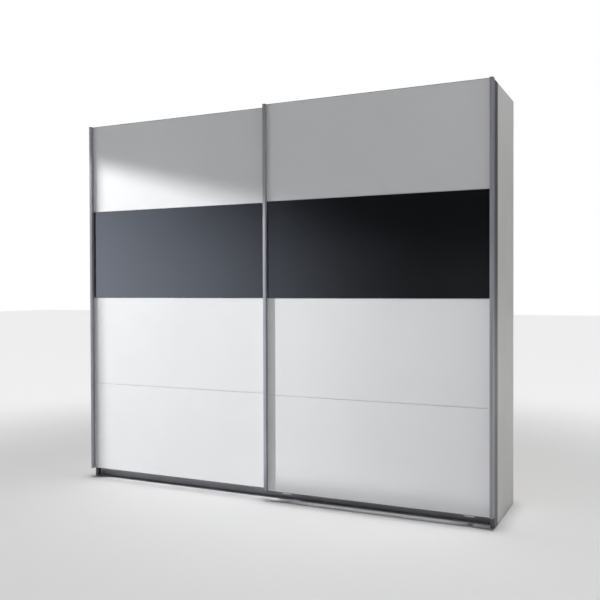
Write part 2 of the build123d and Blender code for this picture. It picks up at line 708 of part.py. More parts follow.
def roller(x, y):
    """A grooved nylon roller on the Y axis, with a ring of lightening holes."""
    half = ROLLER_WIDTH / 2
    groove = ROLLER_GROOVE / 2
    bore = AXLE_R + RUNNING_CLEARANCE
    flange = ROLLER_FLANGE_R
    ease = 0.8
    with BuildPart() as wheel:
        with BuildSketch(Plane(origin=(x, y, AXLE_LEVEL))):
            with BuildLine():
                Polyline(
                    (bore, -half),
                    (flange - ease, -half),
                    (flange, ease - half),
                    (flange, -groove - ease),
                    (ROLLER_TREAD_R, -groove),
                    (ROLLER_TREAD_R, groove),
                    (flange, groove + ease),
                    (flange, half - ease),
                    (flange - ease, half),
                    (bore, half),
                    close=True,
                )
            make_face()
        revolve(axis=Axis((x, y, AXLE_LEVEL), TO_BACK))
        with BuildSketch(Plane(origin=(x, y - half, AXLE_LEVEL), z_dir=TO_BACK)):
            with PolarLocations(7.0, 6):
                Circle(1.5)
        extrude(amount=ROLLER_WIDTH, mode=Mode.SUBTRACT)
    return wheel


def axles(xs, leg_back, track_y):
    """Riveted steel axles: head, shaft, shoulder beside the roller, closing head."""
    roller_front = track_y - ROLLER_WIDTH / 2 - 0.3
    roller_back = track_y + ROLLER_WIDTH / 2 + 0.3
    sections = (
        (leg_back - SHEET - 1.5, leg_back - SHEET, 5.0),
        (leg_back - SHEET, roller_back + 1.7, AXLE_R),
        (leg_back, roller_front, 4.5),
        (roller_back, roller_back + 1.7, 4.5),
    )
    rounds = [
        bars([(x, low, AXLE_LEVEL) for x in xs], TO_BACK, radius, high - low)
        for low, high, radius in sections
    ]
    return joined(rounds)


# ---- Doors ----
FACING_NAMES = ("lower_facing", "middle_facing", "glass_band", "top_facing")
facing_pitch = (HEIGHT - DOOR_BOTTOM) / len(FACING_NAMES)
# side: (left edge, facing plane, top, track, top of hanger's arm, guide's arm, guide's groove)
doors = {
    "left": (
        -HALF_WIDTH,
        REAR_DOOR_FACE,
        HEIGHT - REAR_DOOR_DROP,
        REAR_TRACK_Y,
        HEIGHT - 7.0,
        DOOR_BOTTOM - 6.0,
        REAR_GUIDE_Y,
    ),
    "right": (
        HALF_WIDTH - DOOR_WIDTH,
        FRONT_DOOR_FACE,
        HEIGHT,
        FRONT_TRACK_Y,
        HEIGHT - 0.5,
        DOOR_BOTTOM - 11.0,
        FRONT_GUIDE_Y,
    ),
}

for side, (low_x, face, top, track, arm_top, guide_arm, groove) in doors.items():
    high_x = low_x + DOOR_WIDTH
    back = face + DOOR_DEPTH
    panel_x = (low_x + EDGE_WALL, high_x - EDGE_WALL)
    panel_z = (DOOR_BOTTOM + EDGE_TRIM, top - EDGE_TRIM)
    profile_z = (DOOR_BOTTOM + END_CAP, top - END_CAP)
    profile_edges = ((low_x, 1), (high_x, -1))
    hanger_xs = (low_x + HANGER_INSET, high_x - HANGER_INSET)
    leg_back = track - LEG_GAP
    hanger_seats = [
        (x + offset, back + SHEET, z)
        for x in hanger_xs
        for offset in (-20.0, 20.0)
        for z in (HEIGHT - 85.0, HEIGHT - 45.0)
    ]
    guide_seats = [
        (x + offset, back + GUIDE_PLATE, 85.0) for x in hanger_xs for offset in (-15.0, 15.0)
    ]

    core = board(panel_x, (face + FACING, back), panel_z)
    pilots = [(x, back, z) for x, _, z in hanger_seats + guide_seats]
    save(drill(core, pilots, TO_FRONT, SCREW_R, CORE_PILOT), f"{side}_door_core")
    for index, name in enumerate(FACING_NAMES):
        low_z = DOOR_BOTTOM + index * facing_pitch + FACING_JOINT / 2
        high_z = low_z + facing_pitch - FACING_JOINT
        span_z = (max(low_z, panel_z[0]), min(high_z, panel_z[1]))
        save(door_facing(panel_x, face, span_z), f"{side}_door_{name}")
    trims = [
        board(panel_x, (face, back), (DOOR_BOTTOM, panel_z[0])),
        board(panel_x, (face, back), (panel_z[1], top)),
    ]
    save(joined(trims), f"{side}_door_trims")
    for edge_name, (edge_x, inward) in zip(("left", "right"), profile_edges):
        profile = handle_profile(edge_x, inward, face, profile_z)
        save(profile, f"{side}_door_{edge_name}_profile")
    save(end_caps(profile_edges, face, (DOOR_BOTTOM, top)), f"{side}_door_end_caps")

    brackets = joined([hanger(x, back, arm_top, leg_back) for x in hanger_xs])
    save(drill(brackets, hanger_seats, TO_FRONT, SCREW_R, SHEET), f"{side}_door_hangers")
    guides = joined([floor_guide(x, back, guide_arm, groove) for x in hanger_xs])
    guides = drill(guides, guide_seats, TO_FRONT, SCREW_R, GUIDE_PLATE)
    save(guides, f"{side}_door_floor_guides")
    fasteners = [
        screws(hanger_seats, TO_FRONT, SHEET, length=9.0),
        screws(guide_seats, TO_FRONT, GUIDE_PLATE, length=9.0),
    ]
    save(joined(fasteners), f"{side}_door_screws")
    save(axles(hanger_xs, leg_back, track), f"{side}_door_axles")
    for name, x in zip(("a", "b"), hanger_xs):
        save(roller(x, track), f"{side}_door_roller_{name}")
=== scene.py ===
"""Two-door sliding wardrobe: finishes, dust brushes, studio and camera round the fixed frame."""

import json
import logging
import math
import random
from dataclasses import dataclass, field
from enum import Enum

import bmesh
import bpy
from mathutils import Matrix, Vector


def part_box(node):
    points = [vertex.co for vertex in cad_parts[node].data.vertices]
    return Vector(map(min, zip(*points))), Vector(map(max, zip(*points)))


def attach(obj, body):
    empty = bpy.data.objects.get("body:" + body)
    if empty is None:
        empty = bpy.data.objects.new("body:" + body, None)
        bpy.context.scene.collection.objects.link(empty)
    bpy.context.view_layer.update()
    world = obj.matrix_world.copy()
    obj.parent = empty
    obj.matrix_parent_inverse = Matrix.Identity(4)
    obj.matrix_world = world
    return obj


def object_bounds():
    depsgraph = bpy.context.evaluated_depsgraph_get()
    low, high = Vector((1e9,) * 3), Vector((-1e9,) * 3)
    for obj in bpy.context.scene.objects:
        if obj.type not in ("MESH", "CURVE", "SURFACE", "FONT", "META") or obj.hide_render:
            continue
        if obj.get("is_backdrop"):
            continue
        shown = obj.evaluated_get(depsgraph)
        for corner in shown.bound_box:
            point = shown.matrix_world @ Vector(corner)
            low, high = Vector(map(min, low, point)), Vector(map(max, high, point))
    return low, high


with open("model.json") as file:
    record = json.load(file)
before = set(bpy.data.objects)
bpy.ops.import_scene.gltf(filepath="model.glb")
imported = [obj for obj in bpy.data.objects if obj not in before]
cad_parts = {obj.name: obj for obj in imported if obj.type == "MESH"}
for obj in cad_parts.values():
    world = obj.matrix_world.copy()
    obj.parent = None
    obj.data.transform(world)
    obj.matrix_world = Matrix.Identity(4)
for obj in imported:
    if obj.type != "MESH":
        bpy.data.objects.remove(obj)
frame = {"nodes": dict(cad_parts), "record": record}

LOG = logging.getLogger("wardrobe")
Triple = tuple[float, float, float]
Colour = Triple
MILLIMETRE = 0.001
FALLING = (1.0, 0.0)
BLACK: Colour = (0.0, 0.0, 0.0)
WHITE: Colour = (1.0, 1.0, 1.0)
SQUARE = ((-1, -1), (1, -1), (1, 1), (-1, 1))


def toned(colour: Colour, gain: float, lift: float = 0.0) -> Colour:
    """Make a colour lighter or darker.

    Args:
        colour: the colour.
        gain: what each part is multiplied by.
        lift: what is then added to it.

    Returns:
        The new colour, no part over one.
    """
    return tuple(min(part * gain + lift, 1.0) for part in colour)


class Axis(Enum):
    """The three directions of the shared frame, by index."""

    ACROSS = 0
    DEPTH = 1
    UPRIGHT = 2


# ---------------------------------------------------------------- shader kit
class Wire:
    """A socket that Python's own operators can do sums on."""

    def __init__(self, graph: "Graph", socket: "bpy.types.NodeSocket | None") -> None:
        """Keep the socket, if the node has one, and the graph that it belongs to."""
        self.graph = graph
        self.socket = socket

    def _sum(self, operation: str, first: "Wire | float", second: "Wire | float") -> "Wire":
        """Add one Math node.

        Args:
            operation: the node's operation.
            first: its first value or link.
            second: its second value or link.

        Returns:
            The node's result.
        """
        return self.graph.add("ShaderNodeMath", {"operation": operation}, {0: first, 1: second})

    def __add__(self, other: "Wire | float") -> "Wire":
        """Sum of this and other."""
        return self._sum("ADD", self, other)

    __radd__ = __add__

    def __sub__(self, other: "Wire | float") -> "Wire":
        """This less other."""
        return self._sum("SUBTRACT", self, other)

    def __rsub__(self, other: float) -> "Wire":
        """Other less this."""
        return self._sum("SUBTRACT", other, self)

    def __mul__(self, other: "Wire | float") -> "Wire":
        """Product of this and other."""
        return self._sum("MULTIPLY", self, other)

    __rmul__ = __mul__

    def __pow__(self, power: float) -> "Wire":
        """This to a power."""
        return self._sum("POWER", self, power)

    def __gt__(self, limit: float) -> "Wire":
        """One where this is over the limit, else nought."""
        return self._sum("GREATER_THAN", self, limit)

    def __abs__(self) -> "Wire":
        """Size of this without its sign."""
        return self.graph.add("ShaderNodeMath", {"operation": "ABSOLUTE"}, {0: self})

    def between(
        self,
        low: "float | Wire",
        high: float,
        out: tuple[float, float] = (0.0, 1.0),
    ) -> "Wire":
        """Smooth step of this from one span of values to another.

        Args:
            low: the value up to which the first of out holds.
            high: the value from which the second of out holds.
            out: the two results.

        Returns:
            The stepped value.
        """
        span = {"From Min": low, "From Max": high, "To Min": out[0], "To Max": out[1]}
        settings = {"interpolation_type": "SMOOTHSTEP"}
        return self.graph.add("ShaderNodeMapRange", settings, {"Value": self, **span})

    def spread(self) -> "Wire":
        """Stretch the middle of a noise to the whole of nought to one."""
        return self.between(0.3, 0.7)


class Graph:
    """A node tree with one way to add a node."""

    def __init__(self, tree: bpy.types.NodeTree) -> None:
        """Start from an empty tree."""
        self.tree = tree
        tree.nodes.clear()

    def add(
        self,
        kind: str,
        settings: dict[str, object] | None = None,
        sockets: dict[int | str, object] | None = None,
        output: int | str = 0,
    ) -> Wire:
        """Add a node, set it up, then fill its sockets.

        Args:
            kind: the node's type.
            settings: its own properties, set first.
            sockets: a value or a Wire for each input, by name or index.
            output: the output wanted.

        Returns:
            That output, or an empty wire from a node that has none.
        """
        node = self.tree.nodes.new(kind)
        for key, value in (settings or {}).items():
            setattr(node, key, value)
        for key, value in (sockets or {}).items():
            if isinstance(value, Wire):
                self.tree.links.new(value.socket, node.inputs[key])
            elif isinstance(value, tuple) and node.inputs[key].type == "RGBA":
                node.inputs[key].default_value = (*value, 1.0)
            else:
                node.inputs[key].default_value = value
        return Wire(self, node.outputs[output] if node.outputs else None)

    def place(self, scale: tuple[float, ...] = (1.0, 1.0, 1.0)) -> Wire:
        """The surface's own coordinates in metres.

        Args:
            scale: a scale along each axis.

        Returns:
            The scaled coordinates.
        """
        spot = self.add("ShaderNodeTexCoord", output="Object")
        return self.add("ShaderNodeMapping", None, {"Vector": spot, "Scale": scale})

    def along(self, axis: Axis, scale: float) -> Wire:
        """The surface's own coordinates, drawn out along one axis.

        Args:
            axis: the axis.
            scale: the scale along it; the smaller it is, the longer the marks.

        Returns:
            The scaled coordinates.
        """
        return self.place(tuple(scale if axis is each else 1.0 for each in Axis))

    def noise(self, spot: Wire, scale: float, detail: float = 2.0, rough: float = 0.5) -> Wire:
        """Cloudy noise from nought to one.

        Args:
            spot: coordinates.
            scale: clouds per metre.
            detail: octaves.
            rough: how strong the finer octaves are.

        Returns:
            The noise.
        """
        sockets = {"Vector": spot, "Scale": scale, "Detail": detail, "Roughness": rough}
        return self.add("ShaderNodeTexNoise", None, sockets)

    def cells(self, spot: Wire, scale: float, output: str = "Distance") -> Wire:
        """Cell pattern, for chips and flecks.

        Args:
            spot: coordinates.
            scale: cells per metre.
            output: the output wanted.

        Returns:
            The pattern.
        """
        return self.add("ShaderNodeTexVoronoi", None, {"Vector": spot, "Scale": scale}, output)

    def facing(self, axis: Axis, signed: bool = False) -> Wire:
        """How far the surface faces along one axis.

        Args:
            axis: the axis.
            signed: whether to tell the two ways along it apart.

        Returns:
            One where it faces along the axis, nought where it runs beside it and, if signed,
            less than nought where it faces the other way.
        """
        turn = self.add("ShaderNodeTexCoord", output="Normal")
        part = self.add("ShaderNodeSeparateXYZ", None, {0: turn}, axis.value)
        return part if signed else abs(part)

    def blend(self, share: "Wire | float", first: "Wire | Colour", second: "Wire | Colour") -> Wire:
        """Mix two colours.

        Args:
            share: how much of the second.
            first: the first colour.
            second: the second colour.

        Returns:
            The mixed colour.
        """
        sockets = {0: share, 6: first, 7: second}
        return self.add("ShaderNodeMix", {"data_type": "RGBA"}, sockets, 2)

    def relief(self, height: Wire, depth: float, under: Wire | None = None) -> Wire:
        """Raise the surface by a height map.

        Args:
            height: nought to one.
            depth: what one stands for, in metres.
            under: a coarser relief beneath.

        Returns:
            The bent normal.
        """
        sockets = {"Height": height, "Distance": depth, "Strength": 1.0}
        if under is not None:
            sockets["Normal"] = under
        return self.add("ShaderNodeBump", None, sockets)

    def finish(self, sockets: dict[str, object]) -> None:
        """Close the graph with a Principled surface with these sockets."""
        surface = self.add("ShaderNodeBsdfPrincipled", None, sockets)
        self.add("ShaderNodeOutputMaterial", None, {"Surface": surface})


# ---------------------------------------------------------------- finishes
@dataclass(frozen=True)
class Finish:
    """A finish that any piece can be dressed in."""

    title: str

    def material(self) -> bpy.types.Material:
        """Make the finish's material."""
        made = bpy.data.materials.new(self.title)
        made.use_nodes = True
        self.lay(Graph(made.node_tree))
        return made

    def lay(self, graph: Graph) -> None:
        """Lay the finish's nodes on an empty graph."""
        raise NotImplementedError


@dataclass(frozen=True)
class Lacquer(Finish):
    """Sprayed and polished lacquer with a faint orange peel."""

    light: Colour = (0.835, 0.838, 0.842)
    shade: Colour = (0.815, 0.817, 0.82)
    dust: Colour = (0.62, 0.61, 0.59)
    cloud_scale: float = 2.1
    haze_scale: float = 14.0
    haze_gain: float = 0.04
    dust_scale: float = 420.0
    dust_patches: float = 60.0
    dust_share: float = 0.35
    roughness: float = 0.2
    peel_scale: float = 330.0
    peel: float = 0.00002
    ripple_scale: float = 5.5
    ripple: float = 0.00022
    coat: float = 0.25
    coat_roughness: float = 0.06

    def lay(self, graph: Graph) -> None:
        """Lay cloudy white, polishing haze, slow ripple and fine peel."""
        spot = graph.place()
        cloud = graph.noise(spot, self.cloud_scale, 3.0).spread()
        haze = graph.noise(spot, self.haze_scale, 4.0, 0.62).between(0.35, 0.75)
        base = graph.blend(cloud, self.shade, self.light)
        speck = graph.cells(spot, self.dust_scale).between(0.05, 0.09, FALLING)
        speck = speck * (graph.noise(spot, self.dust_patches) > 0.66)
        ripple = graph.relief(graph.noise(spot, self.ripple_scale, 1.0), self.ripple)
        graph.finish(
            {
                "Base Color": graph.blend(speck * self.dust_share, base, self.dust),
                "Roughness": self.roughness + self.haze_gain * haze,
                "Normal": graph.relief(graph.noise(spot, self.peel_scale, 2.0), self.peel, ripple),
                "Coat Weight": self.coat,
                "Coat Roughness": self.coat_roughness,
            }
        )


@dataclass(frozen=True)
class PaintedGlass(Finish):
    """Glass painted on its back: dark, glossy, with faint wiping marks."""

    light: Colour = (0.0075, 0.0085, 0.0105)
    shade: Colour = (0.0045, 0.005, 0.0065)
    fleck: Colour = (0.014, 0.016, 0.02)
    shine: Colour = (0.78, 0.88, 1.0)
    cloud_scale: float = 1.6
    fleck_scale: float = 900.0
    fleck_share: float = 0.5
    wipe_run: Triple = (2.0, 1.0, 9.0)
    wipe_scale: float = 3.2
    wipe_gain: float = 0.05
    roughness: float = 0.05
    wave_scale: float = 3.0
    wave: float = 0.00012
    glass_index: float = 1.52
    coat_roughness: float = 0.02
    coat_index: float = 1.8

    def lay(self, graph: Graph) -> None:
        """Lay the back paint's clouds and flecks, and the wiped front of the glass."""
        spot = graph.place()
        cloud = graph.noise(spot, self.cloud_scale, 2.0).between(0.35, 0.65)
        fleck = graph.cells(spot, self.fleck_scale).between(0.1, 0.2, FALLING)
        wiped = graph.noise(graph.place(self.wipe_run), self.wipe_scale, 5.0, 0.6).between(0.45, 0.8)
        paint = graph.blend(cloud, self.shade, self.light)
        graph.finish(
            {
                "Base Color": graph.blend(fleck * self.fleck_share, paint, self.fleck),
                "Roughness": self.roughness + self.wipe_gain * wiped,
                "Normal": graph.relief(graph.noise(spot, self.wave_scale, 1.0), self.wave),
                "IOR": self.glass_index,
                "Specular IOR Level": 1.0,
                "Specular Tint": self.shine,
                "Coat Weight": 1.0,
                "Coat Roughness": self.coat_roughness,
                "Coat IOR": self.coat_index,
            }
        )


@dataclass(frozen=True)
class Board(Finish):
    """Melamine-faced board with plain edge banding."""

    face: Colour = (0.80, 0.80, 0.79)
    edge: Colour = (0.84, 0.84, 0.835)
    cloud_scale: float = 2.6
    cloud_gain: float = 0.95
    roughness: float = 0.42
    pearl_scale: float = 620.0
    pearl_gain: float = 0.05
    pore: float = 0.00005
    scuff_run: Triple = (1.0, 1.0, 0.25)
    scuff_scale: float = 34.0
    scuff_gain: float = 0.14

    def lay(self, graph: Graph) -> None:
        """Lay the pearl-textured face, its slow cloudiness and its banded edges."""
        spot = graph.place()
        banded = graph.facing(Axis.DEPTH).between(0.8, 0.95)
        cloud = graph.noise(spot, self.cloud_scale, 4.0, 0.55).spread()
        pearl = graph.noise(spot, self.pearl_scale, 3.0, 0.6)
        run = graph.place(self.scuff_run)
        scuff = graph.noise(run, self.scuff_scale, 5.0, 0.7).between(0.62, 0.8)
        face = graph.blend(cloud, toned(self.face, self.cloud_gain), self.face)
        graph.finish(
            {
                "Base Color": graph.blend(banded, face, self.edge),
                "Roughness": self.roughness + self.scuff_gain * scuff + self.pearl_gain * pearl,
                "Normal": graph.relief(pearl, self.pore),
            }
        )


@dataclass(frozen=True)
class GrainedFoil(Finish):
    """Printed foil with fine, closed wood pores along one axis."""

    # These default colours are the grey board's foil in its lighter copy: painted light on the lying
    # pieces.
    tone: Colour = (0.36, 0.352, 0.378)
    pore: Colour = (0.27, 0.264, 0.285)
    along: Axis = Axis.UPRIGHT
    stretch: float = 0.035
    band_scale: float = 42.0
    band_gain: float = 1.12
    pore_scale: float = 620.0
    pore_share: float = 0.7
    pore_depth: float = 0.00006
    roughness: float = 0.42
    pore_roughness: float = 0.12

    def lay(self, graph: Graph) -> None:
        """Lay long bands, short pores and their relief."""
        run = graph.along(self.along, self.stretch)
        band = graph.noise(run, self.band_scale, 3.0, 0.6).between(0.35, 0.65)
        pore = graph.noise(run, self.pore_scale, 4.0, 0.65).between(0.52, 0.7)
        base = graph.blend(band, self.tone, toned(self.tone, self.band_gain))
        graph.finish(
            {
                "Base Color": graph.blend(pore * self.pore_share, base, self.pore),
                "Roughness": self.roughness + self.pore_roughness * pore,
                "Normal": graph.relief(1 - pore, self.pore_depth),
            }
        )


@dataclass(frozen=True)
class Hardboard(Finish):
    """Thin fibreboard: lacquered white on the side that faces the room, bare behind."""

    white: Colour = (0.79, 0.79, 0.775)
    fibre: Colour = (0.36, 0.235, 0.135)
    dark: Colour = (0.235, 0.145, 0.08)
    pale: Colour = (0.43, 0.30, 0.185)
    pale_share: float = 0.35
    white_gain: float = 0.96
    cloud_scale: float = 3.0
    strand_run: Triple = (1.0, 1.0, 2.2)
    strand_scale: float = 260.0
    strand_share: float = 0.6
    strand_roughness: float = 0.08
    screen_scale: float = 640.0
    roughness: float = 0.78
    lacquer_polish: float = 0.36
    lacquer_fill: float = 0.8
    tooth: float = 0.00014

    def lay(self, graph: Graph) -> None:
        """Lay white lacquer on the front and pressed fibres on the back and edges."""
        spot = graph.place()
        front = graph.facing(Axis.DEPTH, signed=True).between(-0.9, -0.8, FALLING)
        cloud = graph.noise(spot, self.cloud_scale, 4.0, 0.6)
        strand = graph.noise(graph.place(self.strand_run), self.strand_scale, 5.0, 0.72)
        screen = graph.cells(spot, self.screen_scale)
        bare = graph.blend(strand.between(0.3, 0.72), self.dark, self.fibre)
        bare = graph.blend(cloud * self.pale_share, bare, self.pale)
        lacquer = graph.blend(cloud.spread(), toned(self.white, self.white_gain), self.white)
        height = strand * self.strand_share + screen * (1 - self.strand_share)
        rough = self.roughness - self.lacquer_polish * front + self.strand_roughness * strand
        graph.finish(
            {
                "Base Color": graph.blend(front, bare, lacquer),
                "Roughness": rough,
                "Normal": graph.relief(height * (1 - self.lacquer_fill * front), self.tooth),
            }
        )


@dataclass(frozen=True)
class Chipboard(Finish):
    """Chipboard core with white paper on both faces."""

    paper: Colour = (0.80, 0.80, 0.785)
    chip: Colour = (0.60, 0.46, 0.29)
    glue: Colour = (0.33, 0.235, 0.14)
    paper_gain: float = 0.955
    chip_run: Triple = (0.4, 1.0, 1.0)
    chip_scale: float = 480.0
    cloud_scale: float = 4.0
    fine_scale: float = 540.0
    fine_share: float = 0.25
    fine_roughness: float = 0.06
    roughness: float = 0.85
    paper_polish: float = 0.35
    tooth: float = 0.00012

    def lay(self, graph: Graph) -> None:
        """Lay white paper on the faces and pressed chips on the edges."""
        spot = graph.place()
        faced = graph.facing(Axis.DEPTH).between(0.85, 0.95)
        chips = graph.cells(graph.place(self.chip_run), self.chip_scale)
        cloud = graph.noise(spot, self.cloud_scale, 4.0, 0.6).spread()
        fine = graph.noise(spot, self.fine_scale, 3.0)
        raw = graph.blend(chips.between(0.15, 0.7), self.chip, self.glue)
        paper = graph.blend(cloud, toned(self.paper, self.paper_gain), self.paper)
        rough = self.roughness - self.paper_polish * faced + self.fine_roughness * fine
        graph.finish(
            {
                "Base Color": graph.blend(faced, raw, paper),
                "Roughness": rough,
                "Normal": graph.relief(chips * (1 - faced) + fine * self.fine_share, self.tooth),
            }
        )


@dataclass(frozen=True)
class Plastic(Finish):
    """Moulded or extruded plastic with fine spark texture."""

    tone: Colour = (0.2, 0.2, 0.21)
    roughness: float = 0.45
    texture: float = 0.00004
    spark: float = 900.0
    cloud_scale: float = 18.0
    cloud_gain: float = 1.16
    cloud_lift: float = 0.004
    grit_roughness: float = 0.1
    rub_scale: float = 70.0
    rub_gain: float = 1.35
    rub_share: float = 0.3
    rub_polish: float = 0.08

    def lay(self, graph: Graph) -> None:
        """Lay the tone's clouds, spark texture and rubbed high spots."""
        spot = graph.place()
        cloud = graph.noise(spot, self.cloud_scale, 3.0).spread()
        grit = graph.noise(spot, self.spark, 2.0, 0.6)
        rubbed = graph.noise(spot, self.rub_scale, 4.0, 0.65).between(0.6, 0.78)
        base = graph.blend(cloud, self.tone, toned(self.tone, self.cloud_gain, self.cloud_lift))
        worn = toned(self.tone, self.rub_gain)
        rough = self.roughness + self.grit_roughness * grit - self.rub_polish * rubbed
        graph.finish(
            {
                "Base Color": graph.blend(rubbed * self.rub_share, base, worn),
                "Roughness": rough,
                "Normal": graph.relief(grit, self.texture),
            }
        )


@dataclass(frozen=True)
class DrawnMetal(Finish):
    """Extruded, rolled or drawn metal with die lines along one axis."""

    tone: Colour = (0.66, 0.67, 0.69)
    shade: Colour = (0.56, 0.57, 0.59)
    along: Axis = Axis.UPRIGHT
    roughness: float = 0.3
    lines: float = 0.000018
    stretch: float = 0.012
    metallic: float = 1.0
    line_scale: float = 1500.0
    line_roughness: float = 0.14
    band_scale: float = 190.0
    mark_scale: float = 24.0
    mark_gain: float = 0.82
    mark_share: float = 0.25
    mark_roughness: float = 0.1

    def lay(self, graph: Graph) -> None:
        """Lay die lines, a slow change of tone and faint handling marks."""
        drawn = graph.along(self.along, self.stretch)
        line = graph.noise(drawn, self.line_scale, 3.0, 0.6)
        band = graph.noise(drawn, self.band_scale, 2.0).spread()
        marks = graph.noise(graph.place(), self.mark_scale, 5.0, 0.68).between(0.56, 0.8)
        tone = graph.blend(band, self.shade, self.tone)
        stain = toned(self.shade, self.mark_gain)
        rough = self.roughness + self.line_roughness * line + self.mark_roughness * marks
        graph.finish(
            {
                "Base Color": graph.blend(marks * self.mark_share, tone, stain),
                "Metallic": self.metallic,
                "Roughness": rough,
                "Normal": graph.relief(line, self.lines),
            }
        )


@dataclass(frozen=True)
class Plated(Finish):
    """Zinc plating over stamped steel."""

    tone: Colour = (0.62, 0.63, 0.65)
    bloom: Colour = (0.55, 0.55, 0.50)
    roughness: float = 0.3
    spangle_scale: float = 260.0
    spangle_roughness: float = 0.12
    bloom_scale: float = 36.0
    bloom_roughness: float = 0.14
    pit_scale: float = 1100.0
    pit: float = 0.000012

    def lay(self, graph: Graph) -> None:
        """Lay spangled plating with a passivated bloom and fine pitting."""
        spot = graph.place()
        spangle = graph.cells(spot, self.spangle_scale, "Color")
        shine = graph.add("ShaderNodeSeparateColor", None, {0: spangle})
        bloom = graph.noise(spot, self.bloom_scale, 4.0, 0.6).between(0.42, 0.72)
        rough = self.roughness + self.spangle_roughness * shine + self.bloom_roughness * bloom
        graph.finish(
            {
                "Base Color": graph.blend(bloom, self.tone, self.bloom),
                "Metallic": 1.0,
                "Roughness": rough,
                "Normal": graph.relief(graph.noise(spot, self.pit_scale, 2.0), self.pit),
            }
        )


@dataclass(frozen=True)
class TurnedWood(Finish):
    """Fluted beech for dowels."""

    tone: Colour = (0.72, 0.55, 0.36)
    ray: Colour = (0.52, 0.35, 0.2)
    light_gain: float = 1.12
    ray_run: Triple = (0.12, 0.12, 1.0)
    ray_scale: float = 900.0
    ray_share: float = 0.6
    ray_roughness: float = 0.15
    ray_depth: float = 0.00005
    band_scale: float = 160.0
    roughness: float = 0.6

    def lay(self, graph: Graph) -> None:
        """Lay pale wood with short dark rays along the dowel."""
        run = graph.place(self.ray_run)
        ray = graph.noise(run, self.ray_scale, 3.0, 0.6).between(0.5, 0.72)
        band = graph.noise(run, self.band_scale, 3.0).spread()
        base = graph.blend(band, self.tone, toned(self.tone, self.light_gain))
        graph.finish(
            {
                "Base Color": graph.blend(ray * self.ray_share, base, self.ray),
                "Roughness": self.roughness + self.ray_roughness * ray,
                "Normal": graph.relief(1 - ray, self.ray_depth),
            }
        )


@dataclass(frozen=True)
class StudioFloor(Finish):
    """Seamless pale paper that lifts to white away from the object."""

    tone: Colour = (0.80, 0.80, 0.80)
    cloud_gain: float = 0.985
    cloud_scale: float = 0.9
    lift: float = 0.3
    near: float = 1.7
    far: float = 4.6
    tooth_scale: float = 240.0
    tooth_roughness: float = 0.1
    tooth: float = 0.00008
    roughness: float = 0.8
    gloss: float = 0.2

    def lay(self, graph: Graph) -> None:
        """Lay paper with a faint tooth and its far edge lit up."""
        spot = graph.place()
        away = graph.add("ShaderNodeVectorMath", {"operation": "LENGTH"}, {0: spot}, "Value")
        tooth = graph.noise(spot, self.tooth_scale, 3.0)
        cloud = graph.noise(spot, self.cloud_scale, 2.0)
        glow = graph.blend(away.between(self.near, self.far), BLACK, (self.lift,) * 3)
        graph.finish(
            {
                "Base Color": graph.blend(cloud, toned(self.tone, self.cloud_gain), self.tone),
                "Roughness": self.roughness + self.tooth_roughness * tooth,
                "Normal": graph.relief(tooth, self.tooth),
                "Specular IOR Level": self.gloss,
                "Emission Color": glow,
                "Emission Strength": 1.0,
            }
        )


# The finish for each slot of the imported record; a drawn or grained one also goes by the way that
# the piece runs. The grained grey board gets a lighter copy of its foil on lying pieces and a darker
# copy on upright pieces: painted light and painted shade for how the light falls on each.
DRAWN = "anodised_aluminium"
GRAINED = "grey_board"
FINISHES: dict[str, Finish] = {
    "white_board": Board("white melamine board"),
    "back_hardboard": Hardboard("white-faced hardboard"),
    "white_plastic": Plastic("white joiner plastic", (0.80, 0.80, 0.79), 0.4),
    "zinc_steel": Plated("bright zinc plating"),
    "beech": TurnedWood("beech"),
    "chrome_tube": DrawnMetal(
        "chromed tube", (0.80, 0.81, 0.83), (0.74, 0.75, 0.77), Axis.ACROSS, 0.08, 0.000003
    ),
    "black_rubber": Plastic("black rubber", (0.022, 0.022, 0.022), 0.7, 0.00012, 420.0),
    "black_plastic": Plastic("black glide plastic", (0.035, 0.035, 0.036), 0.5),
    "nylon": Plastic("natural nylon", (0.78, 0.77, 0.73), 0.38),
    "door_board": Chipboard("paper-faced chipboard"),
    "graphite_glass": PaintedGlass("graphite painted glass"),
    "white_gloss": Lacquer("white gloss lacquer"),
    "grey_trim": Plastic("dark grey trim", (0.13, 0.132, 0.14), 0.42),
}
DIRECTED: dict[str, dict[Axis, Finish]] = {
    DRAWN: {
        axis: DrawnMetal(
            f"satin anodised {axis.name.lower()}",
            (0.42, 0.415, 0.46),
            (0.37, 0.365, 0.405),
            axis,
            0.36,
            metallic=0.3,
        )
        for axis in Axis
    },
    # Two copies of the one grey board foil: the lying one lightened as painted light, the upright
    # one darkened as painted shade.
    GRAINED: {
        Axis.ACROSS: GrainedFoil("grey foil", along=Axis.ACROSS),
        Axis.UPRIGHT: GrainedFoil("grey board foil, painted shade", (0.13, 0.128, 0.14), (0.085, 0.084, 0.092)),
    },
}
BRUSH_FINISH = Plastic("grey pile", (0.085, 0.086, 0.09), 0.85, 0.0003, 1400.0)


class Wardrobe:
    """Dresses CAD pieces and keeps one material for each finish."""

    def __init__(self) -> None:
        """Start with no material made."""
        self.made: dict[str, bpy.types.Material] = {}

    def material(self, finish: Finish) -> bpy.types.Material:
        """The finish's one material, made when it is first asked for."""
        if finish.title not in self.made:
            self.made[finish.title] = finish.material()
        return self.made[finish.title]

    def finish_for(self, slot: str, node: str) -> Finish:
        """Choose a finish for a piece.

        Args:
            slot: the record's slot on it.
            node: the CAD node's name, whose longest side tells which way it runs.

        Returns:
            The finish.
        """
        if slot not in DIRECTED:
            return FINISHES[slot]
        low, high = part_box(node)
        spans = list(high - low)
        return DIRECTED[slot][Axis(spans.index(max(spans)))]

    def dress(self, nodes: list[str]) -> None:
        """Give every listed CAD node its finish.

        Args:
            nodes: the nodes' names.
        """
        for name in nodes:
            for held in frame["nodes"][name].material_slots:
                slot = held.material.name.split(".")[0]
                held.material = self.material(self.finish_for(slot, name))
            LOG.info("dressed %s", name)


